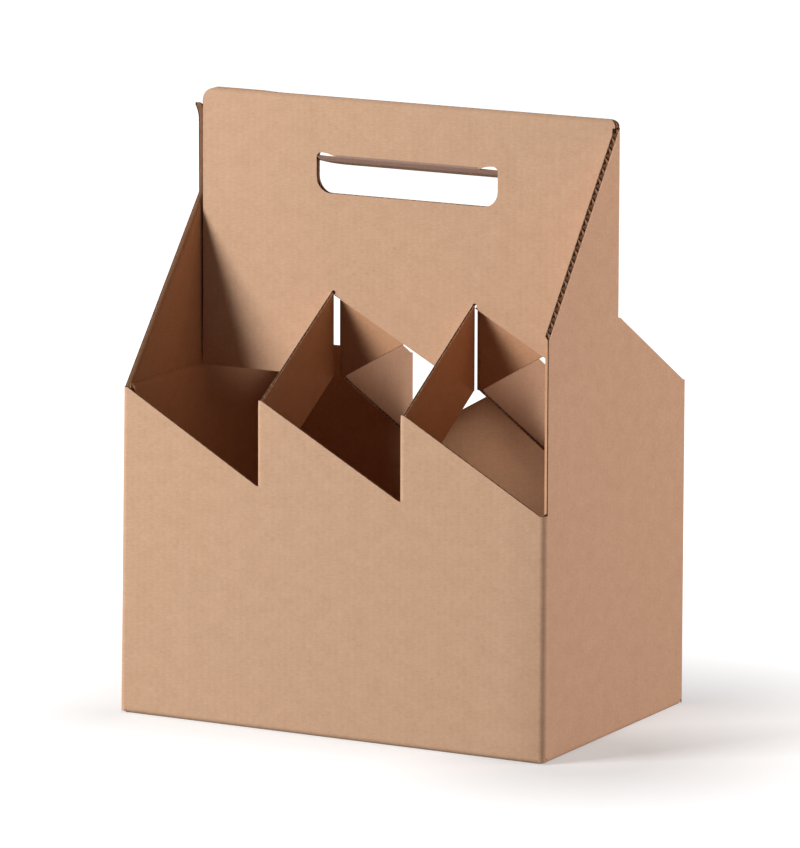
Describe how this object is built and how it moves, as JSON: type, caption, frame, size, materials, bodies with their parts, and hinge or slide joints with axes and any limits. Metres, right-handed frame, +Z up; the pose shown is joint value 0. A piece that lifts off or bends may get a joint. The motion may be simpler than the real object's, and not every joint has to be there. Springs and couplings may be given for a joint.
{
  "type": "wine bottle carrier",
  "caption": "Wine bottle carrier folded and glued from a sheet of corrugated card, with open bottle cells, slanted rims and a centre handle with a creased finger hole.",
  "frame": {"origin": "middle of the base, on the surface that the carrier stands on", "axes": "+X along the length, to the right seen from the front; +Y from the front panel to the back panel; +Z up, towards the handle"},
  "size_m": [0.264, 0.173, 0.344],
  "materials": {
    "kraft_board": "plain uncoated kraft liners on a fluted medium"
  },
  "bodies": {
    "carrier": {"carrier_blank": "kraft_board"},
    "finger_flap": {"handle_flap": "kraft_board"}
  },
  "joints": [
    {"name": "flap_crease", "type": "hinge", "parent": "carrier", "child": "finger_flap", "pos_m": [0, 0, 0.3106], "axis": [1, 0, 0], "range_deg": [-76, 44]}
  ]
}
